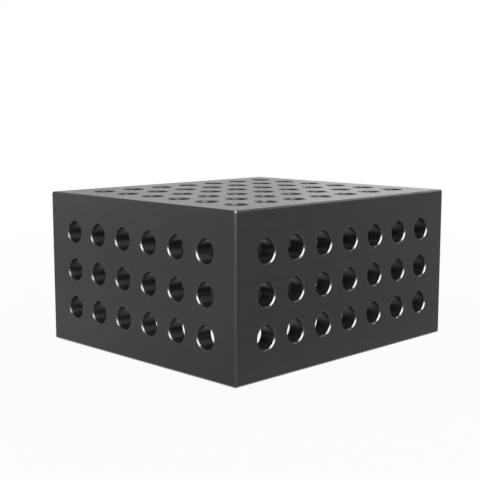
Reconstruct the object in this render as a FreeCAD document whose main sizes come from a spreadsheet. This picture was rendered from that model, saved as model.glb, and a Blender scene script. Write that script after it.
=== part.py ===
import FreeCAD, Part
import Sketcher
import math
import os

# Clamping block for a workholding table: one machined casting, a five-sided hollow box that is open underneath.
# One grid of clamping bores runs through every wall, so that bolts, stops and clamps fit anywhere on it.
# The origin is the middle of the base, X runs along the length, Y along the width and Z up. Sizes are in mm.

driving_sizes = {
    "block_length": 400.0,  # outside, along X
    "block_width": 350.0,  # outside, along Y
    "block_height": 200.0,  # from the base to the top face
    "side_wall": 24.0,  # the four upright walls
    "top_wall": 24.0,  # the plate under the top face
    "bore_diameter": 28.0,  # every clamping bore
    "bore_pitch": 50.0,  # from axis to axis, along and across every face
    "edge_distance": 50.0,  # the least room from an outer edge to the first axis
    "edge_chamfer": 2.0,  # all twelve outer edges
    "mouth_chamfer": 2.0,  # the inner edge of the open base
    "inner_radius": 8.0,  # the cast corners of the hollow
}
count_slack = 1e-6  # keeps the row whose last axis lies exactly at the edge distance
touch = 0.01  # mm: a point this near a face lies on it
cut_error = 0.05  # the share by which a cut may miss the volume that it should take out

doc = FreeCAD.newDocument("clamping_block")
sheet = doc.addObject("Spreadsheet::Sheet", "sizes")
for row, (alias, value) in enumerate(driving_sizes.items(), start=1):
    sheet.set(f"A{row}", alias)
    sheet.set(f"B{row}", str(value))
    sheet.setAlias(f"B{row}", alias)
doc.recompute()

body = doc.addObject("PartDesign::Body", "clamping_block")
body.Label = "clamping_block"


def bore_count(span):
    """The number of bores in a row along one outside size, as an expression."""
    room = f"(sizes.{span} - 2 * sizes.edge_distance)"
    return f"(floor({room} / sizes.bore_pitch + {count_slack}) + 1)"


def row_length(span):
    """The distance from the first axis of a row to its last, as an expression."""
    return f"({bore_count(span)} - 1) * sizes.bore_pitch"


def base_feature(role):
    """One of the body's own base planes or axes."""
    return next(item for item in body.Origin.OriginFeatures if item.Role == role)


def sketch_on(plane, name):
    """A new sketch on one of the body's base planes."""
    sketch = body.newObject("Sketcher::SketchObject", name)
    sketch.AttachmentSupport = [(base_feature(plane), "")]
    sketch.MapMode = "FlatFace"
    return sketch


def dimension(sketch, name, constraint, expression):
    """Adds a named constraint to a sketch and ties it to the sheet."""
    sketch.renameConstraint(sketch.addConstraint(constraint), name)
    sketch.setExpression(f"Constraints.{name}", expression)


def centred_rectangle(sketch, across, along):
    """Draws a rectangle about the sketch's origin, with both of its sizes tied to the sheet."""
    corners = [(-1, -1), (1, -1), (1, 1), (-1, 1)]
    for here, there in zip(corners, corners[1:] + corners[:1]):
        sketch.addGeometry(Part.LineSegment(FreeCAD.Vector(*here, 0), FreeCAD.Vector(*there, 0)))
    for side, way in enumerate(("Horizontal", "Vertical", "Horizontal", "Vertical")):
        sketch.addConstraint(Sketcher.Constraint(way, side))
        sketch.addConstraint(Sketcher.Constraint("Coincident", side, 2, (side + 1) % 4, 1))
    sketch.addConstraint(Sketcher.Constraint("Symmetric", 0, 1, 2, 1, -1, 1))
    dimension(sketch, "across", Sketcher.Constraint("DistanceX", 0, 1, 0, 2, 2), across)
    dimension(sketch, "along", Sketcher.Constraint("DistanceY", 1, 1, 1, 2, 2), along)


def edges_of_hollow(shape, at_mouth):
    """The names of the hollow's edges: those around its open mouth, or all the others."""
    half_length = sheet.block_length / 2 - sheet.side_wall + touch
    half_width = sheet.block_width / 2 - sheet.side_wall + touch
    names = []
    for number, edge in enumerate(shape.Edges, start=1):
        middle = edge.CenterOfMass
        inside = abs(middle.x) < half_length and abs(middle.y) < half_width
        if inside and (middle.z < touch) == at_mouth:
            names.append(f"Edge{number}")
    return names


def bore_grid(face, plane, across, along, first_height):
    """Drills a face's first bore and repeats it in rows. Each of across and along is an axis of the face and the
    outside size along it. A bore in an upright wall runs on through the wall opposite."""
    upright = plane != "XY_Plane"
    sketch = sketch_on(plane, f"{face}_first_bore")
    sketch.addGeometry(Part.Circle(FreeCAD.Vector(-1, 1, 0), FreeCAD.Vector(0, 0, 1), 1))
    dimension(sketch, "diameter", Sketcher.Constraint("Diameter", 0, 2), "sizes.bore_diameter")
    back = f"{row_length(across[1])} / 2"
    dimension(sketch, "back", Sketcher.Constraint("DistanceX", 0, 3, -1, 1, 1), back)
    dimension(sketch, "height", Sketcher.Constraint("DistanceY", -1, 1, 0, 3, 1), first_height)
    drill = body.newObject("PartDesign::Pocket", f"{face}_drill")
    drill.Profile = sketch
    drill.Type = "ThroughAll"
    drill.Midplane = upright
    drill.Reversed = not upright
    doc.recompute()
    grid = body.newObject("PartDesign::LinearPattern", f"{face}_grid")
    grid.Originals = [drill]
    for number, (axis, span) in (("", across), ("2", along)):
        setattr(grid, f"Direction{number}", (base_feature(axis), [""]))
        setattr(grid, f"Mode{number}", "Extent")
        grid.setExpression(f"Length{number}", row_length(span))
        grid.setExpression(f"Occurrences{number}", bore_count(span))
    body.Tip = grid
    doc.recompute()
    return grid


# The block: a plain prism with every outer edge chamfered
outline = sketch_on("XY_Plane", "outline")
centred_rectangle(outline, "sizes.block_length", "sizes.block_width")
block = body.newObject("PartDesign::Pad", "block")
block.Profile = outline
block.setExpression("Length", "sizes.block_height")
doc.recompute()
outer_edges = body.newObject("PartDesign::Chamfer", "outer_edges")
outer_edges.Base = (block, [f"Edge{number}" for number in range(1, len(block.Shape.Edges) + 1)])
outer_edges.setExpression("Size", "sizes.edge_chamfer")
doc.recompute()

# The hollow: open at the base, with round cast corners and a chamfered mouth
opening = sketch_on("XY_Plane", "opening")
inner_length = "sizes.block_length - 2 * sizes.side_wall"
inner_width = "sizes.block_width - 2 * sizes.side_wall"
centred_rectangle(opening, inner_length, inner_width)
hollow = body.newObject("PartDesign::Pocket", "hollow")
hollow.Profile = opening
hollow.Reversed = True
hollow.setExpression("Length", "sizes.block_height - sizes.top_wall")
doc.recompute()
cast_corners = body.newObject("PartDesign::Fillet", "cast_corners")
cast_corners.Base = (hollow, edges_of_hollow(hollow.Shape, at_mouth=False))
cast_corners.setExpression("Radius", "sizes.inner_radius")
doc.recompute()
mouth_edges = body.newObject("PartDesign::Chamfer", "mouth_edges")
mouth_edges.Base = (cast_corners, edges_of_hollow(cast_corners.Shape, at_mouth=True))
mouth_edges.setExpression("Size", "sizes.mouth_chamfer")
doc.recompute()

# The bores: every row stands in the middle of its face, so it lines up with the rows round the corners
along_length = ("X_Axis", "block_length")
along_width = ("Y_Axis", "block_width")
along_height = ("Z_Axis", "block_height")
first_row = f"(sizes.block_height - {row_length('block_height')}) / 2"
end_grid = bore_grid("end", "YZ_Plane", along_width, along_height, first_row)
side_grid = bore_grid("side", "XZ_Plane", along_length, along_height, first_row)
top_grid = bore_grid("top", "XY_Plane", along_length, along_width, f"-{row_length('block_width')} / 2")


def bore_volume(grid, walls, thickness):
    """What a grid of bores takes out of its walls."""
    bores = grid.Occurrences * grid.Occurrences2 * walls
    return bores * thickness * math.pi * (sheet.bore_diameter / 2) ** 2


# Each cut is set against what it should take out, because one that points away from the metal shows no error
hollow_floor = (sheet.block_length - 2 * sheet.side_wall) * (sheet.block_width - 2 * sheet.side_wall)
cuts = (
    (outer_edges, hollow, hollow_floor * (sheet.block_height - sheet.top_wall)),
    (mouth_edges, end_grid, bore_volume(end_grid, 2, sheet.side_wall)),
    (end_grid, side_grid, bore_volume(side_grid, 2, sheet.side_wall)),
    (side_grid, top_grid, bore_volume(top_grid, 1, sheet.top_wall)),
)
for before, after, expected in cuts:
    taken = before.Shape.Volume - after.Shape.Volume
    if abs(taken - expected) > cut_error * expected:
        raise RuntimeError(f"{after.Name} takes out {taken:.0f} mm3, not {expected:.0f}")
for item in doc.Objects:
    if "Invalid" in item.State or "Error" in item.State:
        raise RuntimeError(f"{item.Name} failed: {item.State}")
if body.Shape.isNull() or not body.Shape.isValid() or len(body.Shape.Solids) != 1:
    raise RuntimeError(f"{body.Label} is not one valid solid")

os.makedirs("parts", exist_ok=True)
body.Shape.exportStep(f"parts/{body.Label}.step")
print(f"{body.Label}: {body.Shape.Volume:.0f} mm3, {len(body.Shape.Faces)} faces")
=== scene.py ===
import math
import bpy
from mathutils import Matrix, Vector


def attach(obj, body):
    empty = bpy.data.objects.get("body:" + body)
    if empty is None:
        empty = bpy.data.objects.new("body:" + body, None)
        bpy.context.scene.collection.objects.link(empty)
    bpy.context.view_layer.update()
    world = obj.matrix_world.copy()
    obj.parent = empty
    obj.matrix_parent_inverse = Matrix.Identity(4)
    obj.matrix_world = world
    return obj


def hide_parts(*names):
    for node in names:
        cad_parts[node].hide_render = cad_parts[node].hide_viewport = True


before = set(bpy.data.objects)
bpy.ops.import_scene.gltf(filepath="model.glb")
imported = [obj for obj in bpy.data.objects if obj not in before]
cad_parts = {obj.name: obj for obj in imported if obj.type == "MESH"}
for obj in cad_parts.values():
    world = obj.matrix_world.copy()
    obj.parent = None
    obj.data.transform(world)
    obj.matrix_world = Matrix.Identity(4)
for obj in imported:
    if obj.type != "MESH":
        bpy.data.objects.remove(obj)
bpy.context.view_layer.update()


# Node helpers: every tree below is built with these
def addNode(tree, kind, inputs=None, **settings):
    node = tree.nodes.new(kind)
    for name, value in settings.items():
        setattr(node, name, value)
    for name, value in (inputs or {}).items():
        socket = node.inputs[name]
        parts = value if isinstance(value, list) else [value]  # a list feeds a socket that takes several
        for part in parts:
            if isinstance(part, bpy.types.NodeSocket):
                tree.links.new(part, socket)
            else:
                socket.default_value = part
    return node


def calculate(tree, operation, *values):
    return addNode(tree, "ShaderNodeMath", dict(enumerate(values)), operation=operation).outputs[0]


def measure(tree, operation, *vectors):
    inputs = dict(enumerate(vectors))
    return addNode(tree, "ShaderNodeVectorMath", inputs, operation=operation).outputs["Value"]


def blend(tree, share, first, second):
    return addNode(tree, "ShaderNodeMix", {0: share, 2: first, 3: second}).outputs[0]


def mapRange(tree, value, start, end, **settings):
    inputs = {"Value": value, "From Min": start[0], "From Max": start[1], "To Min": end[0], "To Max": end[1]}
    return addNode(tree, "ShaderNodeMapRange", inputs, **settings).outputs["Result"]


def vectorOf(tree, x=0.0, y=0.0, z=0.0):
    return addNode(tree, "ShaderNodeCombineXYZ", {0: x, 1: y, 2: z}).outputs[0]


def splitUp(tree, vector):
    return addNode(tree, "ShaderNodeSeparateXYZ", {0: vector}).outputs


def newMaterial(name):
    material = bpy.data.materials.new(name)
    material.use_nodes = True
    material.node_tree.nodes.clear()
    return material, material.node_tree


def placeInScene(name, data):
    item = bpy.data.objects.new(name, data)
    bpy.context.collection.objects.link(item)
    return item


# Camera, set where the photo was taken from
photoView = {
    "place": (-0.95003, -0.93516, 0.31211),
    "yaw": 0.78047,  # from +X towards +Y
    "pitch": -0.14261,  # below the horizon
    "roll": 0.00109,
    "sensor": 36.0,
    "lens": 73.94,
    "shift": (-0.01434, 0.01740),
}
quarterTurn = math.pi / 2


def makeCamera(setup):
    data = bpy.data.cameras.new("photo_camera")
    data.sensor_width = setup["sensor"]
    data.lens = setup["lens"]
    data.shift_x, data.shift_y = setup["shift"]
    camera = placeInScene("photo_camera", data)
    camera.matrix_world = (
        Matrix.Translation(setup["place"])
        @ Matrix.Rotation(setup["yaw"] - quarterTurn, 4, "Z")
        @ Matrix.Rotation(setup["pitch"] + quarterTurn, 4, "X")
        @ Matrix.Rotation(setup["roll"], 4, "Z")
    )
    bpy.context.scene.camera = camera
    bpy.context.scene.view_settings.view_transform = "Standard"


# Studio: a white room and floor, with round softboxes that the camera doesn't see
studio = {
    "aim": (0.0, 0.0, 0.1),
    "lamps": {  # direction from the block, distance, width, watts
        "glint_softbox": ((-0.39, -0.69, 0.61), 1.5, 1.80, 172.0),
        "left_softbox": ((-0.72, 0.66, 0.0), 2.5, 1.60, 8.5),
        "right_softbox": ((0.70, -0.40, 0.59), 2.5, 0.80, 20.0),
        "back_softbox": ((0.95, 0.28, 0.14), 2.5, 2.20, 5.0),
        "wide_softbox": ((0.86, 0.30, 0.16), 2.5, 3.60, 6.0),
    },
    "lightsMatt": ("back_softbox", "wide_softbox"),  # the others show only as reflections
    "passesBlock": ("right_softbox",),  # its reflection shows inside the bores too, as it does in the photo
    "white": (1.0, 1.0, 1.0, 1.0),
    "roomGlow": {"all round": 0.9, "Is Glossy Ray": 0.85, "Is Camera Ray": 1.0},  # by the kind of ray
    "floorSize": 16.0,
    "floorColour": (0.8, 0.8, 0.8, 1.0),
    "floorGlow": 0.92,  # how much of the floor near the block shows plain white; the rest takes its shadow
    "allWhite": (0.5, 1.5),  # distances from the middle over which the floor turns all white
    "patches": [  # middle, reach and glow of floor that metal sees darker or lighter than the camera does
        ((0.1, -0.8, 0.0), 1.1, 0.76),
        ((-0.42, 0.06, 0.0), 0.8, 1.36),
    ],
}


def makeWorld(setup):
    world = bpy.data.worlds.new("white_studio")
    world.use_nodes = True
    tree = world.node_tree
    tree.nodes.clear()
    rays = addNode(tree, "ShaderNodeLightPath").outputs
    glow = setup["roomGlow"]["all round"]
    for ray in ("Is Glossy Ray", "Is Camera Ray"):
        glow = blend(tree, rays[ray], glow, setup["roomGlow"][ray])
    background = addNode(tree, "ShaderNodeBackground", {"Color": setup["white"], "Strength": glow})
    addNode(tree, "ShaderNodeOutputWorld", {"Surface": background.outputs[0]})
    bpy.context.scene.world = world


def makeFloorWhite(setup):
    material, tree = newMaterial("floor_white")
    spot = addNode(tree, "ShaderNodeTexCoord").outputs["Object"]
    rays = addNode(tree, "ShaderNodeLightPath").outputs
    onMetal = 1.0
    for middle, reach, patchGlow in setup["patches"]:
        patch = mapRange(tree, measure(tree, "DISTANCE", spot, middle), (0.0, reach), (patchGlow, 1.0))
        onMetal = calculate(tree, "MULTIPLY", onMetal, patch)
    strength = blend(tree, rays["Is Glossy Ray"], 1.0, onMetal)
    glow = addNode(tree, "ShaderNodeEmission", {"Color": setup["white"], "Strength": strength})
    away = measure(tree, "LENGTH", spot)
    fade = (setup["floorGlow"], 1.0)
    shown = mapRange(tree, away, setup["allWhite"], fade, interpolation_type="SMOOTHSTEP")
    seen = rays["Is Camera Ray"]
    for ray in ("Is Glossy Ray", "Is Transmission Ray"):
        seen = calculate(tree, "MAXIMUM", seen, rays[ray])
    share = calculate(tree, "MULTIPLY", seen, shown)
    matt = addNode(tree, "ShaderNodeBsdfDiffuse", {"Color": setup["floorColour"]})
    mixed = addNode(tree, "ShaderNodeMixShader", {0: share, 1: matt.outputs[0], 2: glow.outputs[0]})
    addNode(tree, "ShaderNodeOutputMaterial", {"Surface": mixed.outputs[0]})
    return material


def makeFloor(setup):
    half = setup["floorSize"] / 2
    corners = [(-half, -half, 0), (half, -half, 0), (half, half, 0), (-half, half, 0)]
    mesh = bpy.data.meshes.new("studio_floor")
    mesh.from_pydata(corners, [], [(0, 1, 2, 3)])
    mesh.materials.append(makeFloorWhite(setup))
    floor = placeInScene("studio_floor", mesh)
    return floor


def makeLamps(setup, floor):
    aim = Vector(setup["aim"])
    blockers = bpy.data.collections.new("floor_only")
    blockers.objects.link(floor)
    for name, (direction, distance, width, watts) in setup["lamps"].items():
        data = bpy.data.lights.new(name, "AREA")
        data.shape = "DISK"
        data.size = width
        data.energy = watts
        lamp = placeInScene(name, data)
        away = Vector(direction).normalized()
        lamp.location = aim + away * distance
        lamp.rotation_euler = away.to_track_quat("Z", "Y").to_euler()
        lamp.visible_camera = False
        lamp.visible_diffuse = name in setup["lightsMatt"]
        if name in setup["passesBlock"]:
            lamp.light_linking.blocker_collection = blockers


makeCamera(photoView)
makeWorld(studio)
makeLamps(studio, makeFloor(studio))
print("studio: camera, floor and lamps are in place")

# The block: sizes in metres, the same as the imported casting's
block = {
    "Length": 0.400,
    "Width": 0.350,
    "Height": 0.200,
    "Wall": 0.024,
    "Inner radius": 0.008,
    "Edge chamfer": 0.002,
    "Bore diameter": 0.028,
    "Bore pitch": 0.050,
    "Edge distance": 0.050,
    "Bore chamfer": 0.0017,
    "Bore sides": 64,
    "Corner sides": 32,
}
overrun = 0.001  # how far each cutter stands out of the metal
machined, chamfered, bored, cast = range(4)  # the finish that each face keeps for the material
flatAbove = 0.99  # an outer face whose normal reaches less than this along X, Y or Z is a chamfer
chamferAbove = 0.5  # a bore's face whose normal reaches more than this along the bore is a chamfer
roundBelow = math.radians(30)  # faces that turn less than this at an edge are shaded as one
countSlack = 1e-4  # keeps the row whose last bore lies exactly at the edge distance


def markFaces(tree, mesh, name, value, kind="FLOAT"):
    inputs = {"Geometry": mesh, "Name": name, "Value": value}
    return addNode(tree, "GeometryNodeStoreNamedAttribute", inputs, data_type=kind, domain="FACE").outputs[0]


def moved(tree, mesh, place, turn=(0.0, 0.0, 0.0)):
    inputs = {"Geometry": mesh, "Translation": place, "Rotation": turn}
    return addNode(tree, "GeometryNodeTransform", inputs).outputs[0]


def realized(tree, mesh):
    return addNode(tree, "GeometryNodeRealizeInstances", {"Geometry": mesh}).outputs[0]


def hullOf(tree, *parts):
    joined = addNode(tree, "GeometryNodeJoinGeometry", {"Geometry": list(parts)}).outputs[0]
    return addNode(tree, "GeometryNodeConvexHull", {"Geometry": realized(tree, joined)}).outputs[0]


def atPoints(tree, points, item):
    placed = addNode(tree, "GeometryNodeInstanceOnPoints", {"Points": points, "Instance": item}).outputs[0]
    return realized(tree, placed)


def lessTwice(tree, size, margin):
    return calculate(tree, "MULTIPLY_ADD", margin, -2.0, size)


def halfOf(tree, size):
    return calculate(tree, "MULTIPLY", size, 0.5)


def normalReach(tree):  # how far a face's normal reaches along X, Y and Z, either way
    normal = addNode(tree, "GeometryNodeInputNormal").outputs[0]
    return [calculate(tree, "ABSOLUTE", part) for part in splitUp(tree, normal)]


# A box with chamfered edges is the hull of three boxes, each of them full size along one axis
def chamferedBox(tree, sizes):
    full = [sizes[name] for name in ("Length", "Width", "Height")]
    short = [lessTwice(tree, size, sizes["Edge chamfer"]) for size in full]
    boxes = []
    for long in range(3):
        mixed = [full[axis] if axis == long else short[axis] for axis in range(3)]
        boxes.append(addNode(tree, "GeometryNodeMeshCube", {"Size": vectorOf(tree, *mixed)}).outputs[0])
    solid = moved(tree, hullOf(tree, *boxes), vectorOf(tree, z=halfOf(tree, sizes["Height"])))
    across, along, up = normalReach(tree)
    furthest = calculate(tree, "MAXIMUM", calculate(tree, "MAXIMUM", across, along), up)
    return markFaces(tree, solid, "finish", calculate(tree, "LESS_THAN", furthest, flatAbove))


# The hollow is the hull of eight balls, of which the lower four lie below the open base
def hollowCutter(tree, sizes, spanX, spanY):
    radius = sizes["Inner radius"]
    depth = calculate(tree, "SUBTRACT", sizes["Height"], sizes["Wall"])
    frameBox = addNode(tree, "GeometryNodeMeshCube", {"Size": vectorOf(tree, spanX, spanY, depth)}).outputs[0]
    middle = calculate(tree, "SUBTRACT", halfOf(tree, depth), radius)
    rings = halfOf(tree, sizes["Corner sides"])
    ballInputs = {"Segments": sizes["Corner sides"], "Rings": rings, "Radius": radius}
    ball = addNode(tree, "GeometryNodeMeshUVSphere", ballInputs).outputs[0]
    corners = atPoints(tree, moved(tree, frameBox, vectorOf(tree, z=middle)), ball)
    return markFaces(tree, hullOf(tree, corners), "finish", float(cast))


# The chamfer round the open base is the hull of four cones, one at each round corner of the hollow
def mouthCutter(tree, sizes, spanX, spanY):
    outermost = calculate(tree, "ADD", sizes["Inner radius"], sizes["Edge chamfer"])
    wide = calculate(tree, "ADD", outermost, overrun)
    narrow = calculate(tree, "SUBTRACT", sizes["Inner radius"], overrun)
    coneInputs = {
        "Vertices": sizes["Corner sides"],
        "Radius Bottom": wide,
        "Radius Top": narrow,
        "Depth": calculate(tree, "SUBTRACT", wide, narrow),
    }
    cone = addNode(tree, "GeometryNodeMeshCone", coneInputs).outputs[0]
    gridInputs = {"Size X": spanX, "Size Y": spanY, "Vertices X": 2, "Vertices Y": 2}
    corners = addNode(tree, "GeometryNodeMeshGrid", gridInputs).outputs[0]
    solid = moved(tree, hullOf(tree, atPoints(tree, corners, cone)), (0.0, 0.0, -overrun))
    return markFaces(tree, solid, "finish", float(chamfered))


# A bore's cutter is a pin as long as the wall is thick. The last rings at both ends are drawn outwards, one
# for each step here: the chamfer, and then its softly broken edge.
chamferSteps = [(0.76, 0.88), (0.30, 0.10)]  # each step's size across and along the bore, in chamfers


def boreCutter(tree, sizes):
    radius = halfOf(tree, sizes["Bore diameter"])
    halfWall = halfOf(tree, sizes["Wall"])
    chamfer = sizes["Bore chamfer"]
    segments = 2 * len(chamferSteps) + 1
    pinInputs = {
        "Vertices": sizes["Bore sides"],
        "Side Segments": segments,
        "Radius": radius,
        "Depth": sizes["Wall"],
    }
    pin = addNode(tree, "GeometryNodeMeshCylinder", pinInputs).outputs[0]
    x, y, z = splitUp(tree, addNode(tree, "GeometryNodeInputPosition").outputs[0])
    fromMiddle = calculate(tree, "DIVIDE", calculate(tree, "ABSOLUTE", z), halfWall)
    wholeDepth = sum(along for across, along in chamferSteps)
    flare, height = 0.0, calculate(tree, "MULTIPLY_ADD", chamfer, -wholeDepth, halfWall)
    for number, (across, along) in enumerate(chamferSteps, start=1):
        onStep = calculate(tree, "GREATER_THAN", fromMiddle, 2 * number / segments)
        past = overrun if number == len(chamferSteps) else 0.0
        widen = calculate(tree, "MULTIPLY_ADD", chamfer, across, past * across / along)
        climb = calculate(tree, "MULTIPLY_ADD", chamfer, along, past)
        flare = calculate(tree, "MULTIPLY_ADD", onStep, widen, flare)
        height = calculate(tree, "MULTIPLY_ADD", onStep, climb, height)
    spread = calculate(tree, "ADD", calculate(tree, "DIVIDE", flare, radius), 1.0)
    place = vectorOf(
        tree,
        calculate(tree, "MULTIPLY", x, spread),
        calculate(tree, "MULTIPLY", y, spread),
        calculate(tree, "MULTIPLY", calculate(tree, "SIGN", z), height),
    )
    shaped = addNode(tree, "GeometryNodeSetPosition", {"Geometry": pin, "Position": place}).outputs[0]
    onChamfer = calculate(tree, "GREATER_THAN", normalReach(tree)[2], chamferAbove)
    finish = calculate(tree, "MULTIPLY_ADD", onChamfer, float(chamfered - bored), float(bored))
    return markFaces(tree, shaped, "finish", finish)


def rowOfBores(tree, sizes, span):
    pitch = sizes["Bore pitch"]
    pitches = calculate(tree, "DIVIDE", lessTwice(tree, span, sizes["Edge distance"]), pitch)
    steps = calculate(tree, "FLOOR", calculate(tree, "ADD", pitches, countSlack))
    return calculate(tree, "ADD", steps, 1.0), calculate(tree, "MULTIPLY", steps, pitch)


def gridOfBores(tree, sizes, cutter, spans, place, turn, axis):
    (countX, sizeX), (countY, sizeY) = (rowOfBores(tree, sizes, span) for span in spans)
    gridInputs = {"Size X": sizeX, "Size Y": sizeY, "Vertices X": countX, "Vertices Y": countY}
    points = addNode(tree, "GeometryNodeMeshGrid", gridInputs).outputs[0]
    bores = moved(tree, atPoints(tree, points, cutter), place, turn)
    return markFaces(tree, bores, "boreAxis", axis, "FLOAT_VECTOR")


def makeBlockTree():
    tree = bpy.data.node_groups.new("bored_block", "GeometryNodeTree")
    tree.is_modifier = True
    for name, value in block.items():
        kind = "NodeSocketInt" if isinstance(value, int) else "NodeSocketFloat"
        tree.interface.new_socket(name, in_out="INPUT", socket_type=kind)
    tree.interface.new_socket("Finish", in_out="INPUT", socket_type="NodeSocketMaterial")
    tree.interface.new_socket("Block", in_out="OUTPUT", socket_type="NodeSocketGeometry")
    given = addNode(tree, "NodeGroupInput").outputs
    sizes = {name: given[name] for name in block}
    length, width, height = (sizes[name] for name in ("Length", "Width", "Height"))

    # Where the middle of each wall lies
    halfWall = halfOf(tree, sizes["Wall"])
    midHeight = halfOf(tree, height)
    outX, outY = (calculate(tree, "SUBTRACT", halfOf(tree, size), halfWall) for size in (length, width))
    backX, backY = (calculate(tree, "MULTIPLY", size, -1.0) for size in (outX, outY))
    topZ = calculate(tree, "SUBTRACT", height, halfWall)
    noTurn, sideTurn, endTurn = (0.0, 0.0, 0.0), (quarterTurn, 0.0, 0.0), (0.0, quarterTurn, 0.0)
    alongX, alongY, alongZ = (1.0, 0.0, 0.0), (0.0, 1.0, 0.0), (0.0, 0.0, 1.0)
    walls = [  # the wall's two sizes, its middle, the turn of its grid and the way its bores run
        ((length, width), vectorOf(tree, z=topZ), noTurn, alongZ),
        ((length, height), vectorOf(tree, y=outY, z=midHeight), sideTurn, alongY),
        ((length, height), vectorOf(tree, y=backY, z=midHeight), sideTurn, alongY),
        ((height, width), vectorOf(tree, x=outX, z=midHeight), endTurn, alongX),
        ((height, width), vectorOf(tree, x=backX, z=midHeight), endTurn, alongX),
    ]
    margin = calculate(tree, "ADD", sizes["Wall"], sizes["Inner radius"])
    spans = [lessTwice(tree, size, margin) for size in (length, width)]
    bore = boreCutter(tree, sizes)
    cutters = [hollowCutter(tree, sizes, *spans), mouthCutter(tree, sizes, *spans)]
    cutters += [gridOfBores(tree, sizes, bore, *wall) for wall in walls]

    inputs = {"Mesh 1": chamferedBox(tree, sizes), "Mesh 2": cutters}
    drilled = addNode(tree, "GeometryNodeMeshBoolean", inputs, operation="DIFFERENCE", solver="MANIFOLD")
    turnAtEdge = addNode(tree, "GeometryNodeInputMeshEdgeAngle").outputs["Unsigned Angle"]
    isRound = calculate(tree, "LESS_THAN", turnAtEdge, roundBelow)
    smoothInputs = {"Geometry": drilled.outputs[0], "Shade Smooth": isRound}
    shaded = addNode(tree, "GeometryNodeSetShadeSmooth", smoothInputs, domain="EDGE").outputs[0]
    coatInputs = {"Geometry": realized(tree, shaded), "Material": given["Finish"]}
    coated = addNode(tree, "GeometryNodeSetMaterial", coatInputs).outputs[0]
    addNode(tree, "NodeGroupOutput", {"Block": coated})
    return tree


def makePiece(name, tree, values):
    source = placeInScene(f"{name}_source", bpy.data.meshes.new(f"{name}_source"))
    modifier = source.modifiers.new(tree.name, "NODES")
    modifier.node_group = tree
    for item in tree.interface.items_tree:
        if item.in_out == "INPUT":
            modifier[item.identifier] = values[item.name]
    evaluated = source.evaluated_get(bpy.context.evaluated_depsgraph_get())
    mesh = bpy.data.meshes.new_from_object(evaluated)
    mesh.name = name
    mesh.materials.clear()
    mesh.materials.append(values["Finish"])
    mesh.polygons.foreach_set("material_index", [0] * len(mesh.polygons))
    bpy.data.objects.remove(source)
    return placeInScene(name, mesh)


# Nitrided cast iron: dark and satin, with grinding lines on the faces and turned rings in the bores
iron = {
    "colour": (0.0355, 0.0355, 0.0360),
    "roughness": {machined: 0.33, chamfered: 0.27, bored: 0.35, cast: 0.60},
    "brightness": {machined: 1.0, chamfered: 1.4, bored: 0.6, cast: 0.9},
    "metal": {machined: 1.0, chamfered: 1.0, bored: 0.5, cast: 0.2},  # the rest is matt oxide
    "noises": {  # scale, detail, place, and a factor on X, Y and Z: a small one draws the noise out that way
        "clouds": (7.0, 4.0, 0.0, (1.0, 1.0, 1.0)),
        "mottle": (70.0, 4.0, 9.0, (1.0, 1.0, 1.0)),
        "streaks": (20.0, 2.0, 17.0, (1.0, 1.0, 0.08)),
        "linesAlongX": (700.0, 2.0, 3.0, (0.01, 1.0, 1.0)),
        "linesAlongY": (700.0, 2.0, 5.0, (1.0, 0.01, 1.0)),
        "wobble": (40.0, 2.0, 0.0, (1.0, 1.0, 1.0)),
        "grain": (160.0, 6.0, 31.0, (1.0, 1.0, 1.0)),
    },
    "fineShare": 0.55,  # how strong each finer layer of a noise is, beside the one before
    "colourSwing": {"clouds": 0.10, "mottle": 0.06, "streaks": 0.08, "lines": 0.08},
    "roughnessSwing": 0.08,
    "ringPitch": 0.0006,  # from ring to ring in a bore
    "lineDepth": 0.000004,
    "castDepth": 0.0004,
    "endAbove": 0.9,  # a face whose normal reaches further than this along X is an end face
}


midNoise = 0.5  # a noise runs from 0 to 1
halfStep = 0.5  # the finishes are numbered, and a mask takes in what is nearer to its number than this


def swing(tree, noise, share):  # turns a noise into a factor round 1
    return calculate(tree, "MULTIPLY_ADD", noise, 2.0 * share, 1.0 - share)


def product(tree, *factors):
    result = factors[0]
    for factor in factors[1:]:
        result = calculate(tree, "MULTIPLY", result, factor)
    return result


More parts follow.
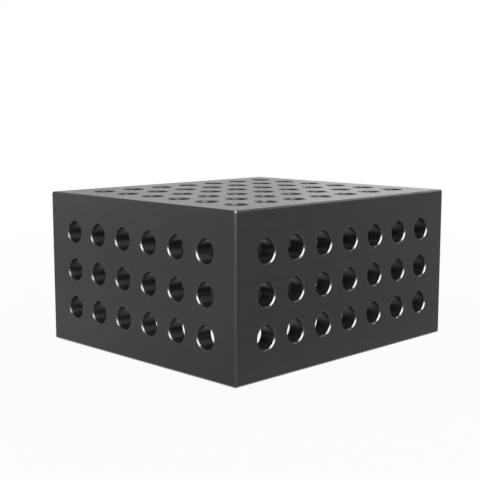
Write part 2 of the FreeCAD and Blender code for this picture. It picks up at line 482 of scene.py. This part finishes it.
def makeIron(setup):
    material, tree = newMaterial("dark_iron")
    spot = addNode(tree, "ShaderNodeTexCoord").outputs["Object"]
    finish = addNode(tree, "ShaderNodeAttribute", attribute_name="finish").outputs["Fac"]
    boreAxis = addNode(tree, "ShaderNodeAttribute", attribute_name="boreAxis").outputs["Vector"]
    masks = {kind: calculate(tree, "COMPARE", finish, float(kind), halfStep) for kind in setup["roughness"]}

    def byFinish(values):
        total = 0.0
        for kind, mask in masks.items():
            total = calculate(tree, "MULTIPLY_ADD", mask, values[kind], total)
        return total

    noises, fineShare = {}, setup["fineShare"]
    for name, (scale, detail, place, factors) in setup["noises"].items():
        mapInputs = {"Vector": spot, "Scale": factors, "Location": (place,) * 3}
        mapped = addNode(tree, "ShaderNodeMapping", mapInputs).outputs[0]
        noiseInputs = {"Vector": mapped, "Scale": scale, "Detail": detail, "Roughness": fineShare}
        noises[name] = addNode(tree, "ShaderNodeTexNoise", noiseInputs).outputs[0]

    # Grinding lines run along X, and along Y on the two end faces. Chamfers and bores have none.
    normal = splitUp(tree, addNode(tree, "ShaderNodeNewGeometry").outputs["Normal"])
    onEnd = calculate(tree, "GREATER_THAN", calculate(tree, "ABSOLUTE", normal[0]), setup["endAbove"])
    ground = blend(tree, onEnd, noises["linesAlongX"], noises["linesAlongY"])
    noises["lines"] = blend(tree, masks[machined], midNoise, ground)

    # Turned rings follow each other along a bore, and waver a little
    depthInBore = measure(tree, "DOT_PRODUCT", spot, boreAxis)
    wavering = calculate(tree, "MULTIPLY_ADD", noises["wobble"], setup["ringPitch"], depthInBore)
    rings = calculate(tree, "SINE", calculate(tree, "MULTIPLY", wavering, 2.0 * math.pi / setup["ringPitch"]))

    swings = [swing(tree, noises[name], share) for name, share in setup["colourSwing"].items()]
    tone = product(tree, byFinish(setup["brightness"]), *swings)
    colourInputs = {0: setup["colour"], "Scale": tone}
    colour = addNode(tree, "ShaderNodeVectorMath", colourInputs, operation="SCALE").outputs[0]
    unevenness = calculate(tree, "ADD", noises["mottle"], noises["lines"])
    halfSwing = setup["roughnessSwing"] / 2
    uneven = calculate(tree, "MULTIPLY_ADD", unevenness, halfSwing, -halfSwing)
    roughness = calculate(tree, "ADD", byFinish(setup["roughness"]), uneven)

    flat = calculate(tree, "MULTIPLY", masks[machined], noises["lines"])
    turned = calculate(tree, "MULTIPLY", masks[bored], calculate(tree, "MULTIPLY_ADD", rings, 0.5, 0.5))
    fine = calculate(tree, "MULTIPLY", calculate(tree, "ADD", flat, turned), setup["lineDepth"])
    rough = product(tree, masks[cast], noises["grain"], setup["castDepth"])
    bumpInputs = {"Height": calculate(tree, "ADD", fine, rough), "Distance": 1.0, "Strength": 1.0}
    bump = addNode(tree, "ShaderNodeBump", bumpInputs).outputs[0]
    shaderInputs = {
        "Base Color": colour,
        "Metallic": byFinish(setup["metal"]),
        "Roughness": roughness,
        "Normal": bump,
    }
    shader = addNode(tree, "ShaderNodeBsdfPrincipled", shaderInputs)
    addNode(tree, "ShaderNodeOutputMaterial", {"Surface": shader.outputs[0]})
    return material


ironFinish = makeIron(iron)
print("finish: dark iron, with", len(iron["noises"]), "noises")
blockPiece = makePiece("bored_casting", makeBlockTree(), {**block, "Finish": ironFinish})
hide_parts("clamping_block")
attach(blockPiece, "root")
print("block:", len(blockPiece.data.polygons), "faces,", len(blockPiece.data.vertices), "corners")

bpy.context.view_layer.update()
